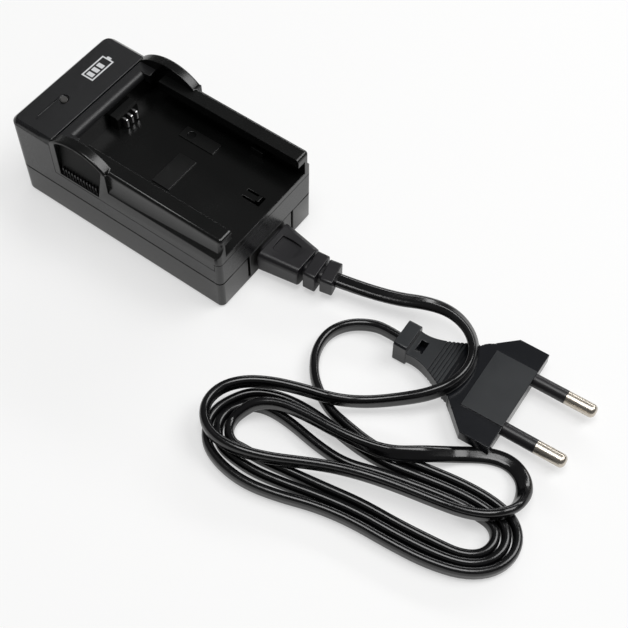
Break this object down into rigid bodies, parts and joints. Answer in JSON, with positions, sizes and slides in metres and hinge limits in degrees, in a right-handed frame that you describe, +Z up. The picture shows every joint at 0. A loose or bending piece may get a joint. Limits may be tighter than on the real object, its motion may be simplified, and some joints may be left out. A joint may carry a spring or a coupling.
{
  "type": "camera battery charger",
  "caption": "Dark plastic camera battery charger with an open battery cradle, arched ribbed ears, blade contacts, a mains inlet and a loosely coiled flat cord with a slim plug.",
  "frame": {"origin": "bottom centre of the charger's case, on the surface it rests on", "axes": "+X along the case towards the mains inlet, +Z up out of the battery bay, +Y to the far side"},
  "size_m": [0.188, 0.0868, 0.0352],
  "materials": {
    "base_plastic": "fine moulded texture",
    "case_plastic": "fine moulded texture",
    "cradle_plastic": "satin moulding",
    "contact_metal": "bright plated",
    "lens_plastic": "clear, slightly smoked",
    "lamp_plastic": "tinted",
    "board_laminate": "coated laminate",
    "ferrite": "dull fired",
    "winding_tape": "taped",
    "can_sleeve": "shrunk sleeve",
    "component_plastic": "moulded",
    "screw_steel": "plated",
    "inlet_plastic": "moulded",
    "connector_plastic": "soft moulded",
    "plug_plastic": "soft moulded",
    "pin_metal": "nickel plated",
    "sleeve_plastic": "moulded",
    "cord_jacket": "smooth, slightly glossy"
  },
  "bodies": {
    "root": {"base_shell": "base_plastic", "upper_shell": "case_plastic", "battery_cradle": "cradle_plastic", "contact_holder": "cradle_plastic", "battery_contacts": "contact_metal", "contact_leads": "contact_metal", "light_guide": "lens_plastic", "status_lamp": "lamp_plastic", "circuit_board": "board_laminate", "transformer_core": "ferrite", "transformer_winding": "winding_tape", "input_capacitor": "can_sleeve", "output_capacitor": "can_sleeve", "choke": "can_sleeve", "rectifier": "component_plastic", "switching_transistor": "component_plastic", "control_chip": "component_plastic", "fuse": "component_plastic", "case_screws": "screw_steel", "inlet_socket": "inlet_plastic", "inlet_pins": "pin_metal", "cord_connector": "connector_plastic", "connector_contacts": "pin_metal", "mains_plug": "plug_plastic", "plug_pins": "pin_metal", "pin_sleeves": "sleeve_plastic", "cord_lead": "cord_jacket", "cord_hank": "cord_jacket", "cord_tail": "cord_jacket"}
  },
  "joints": []
}
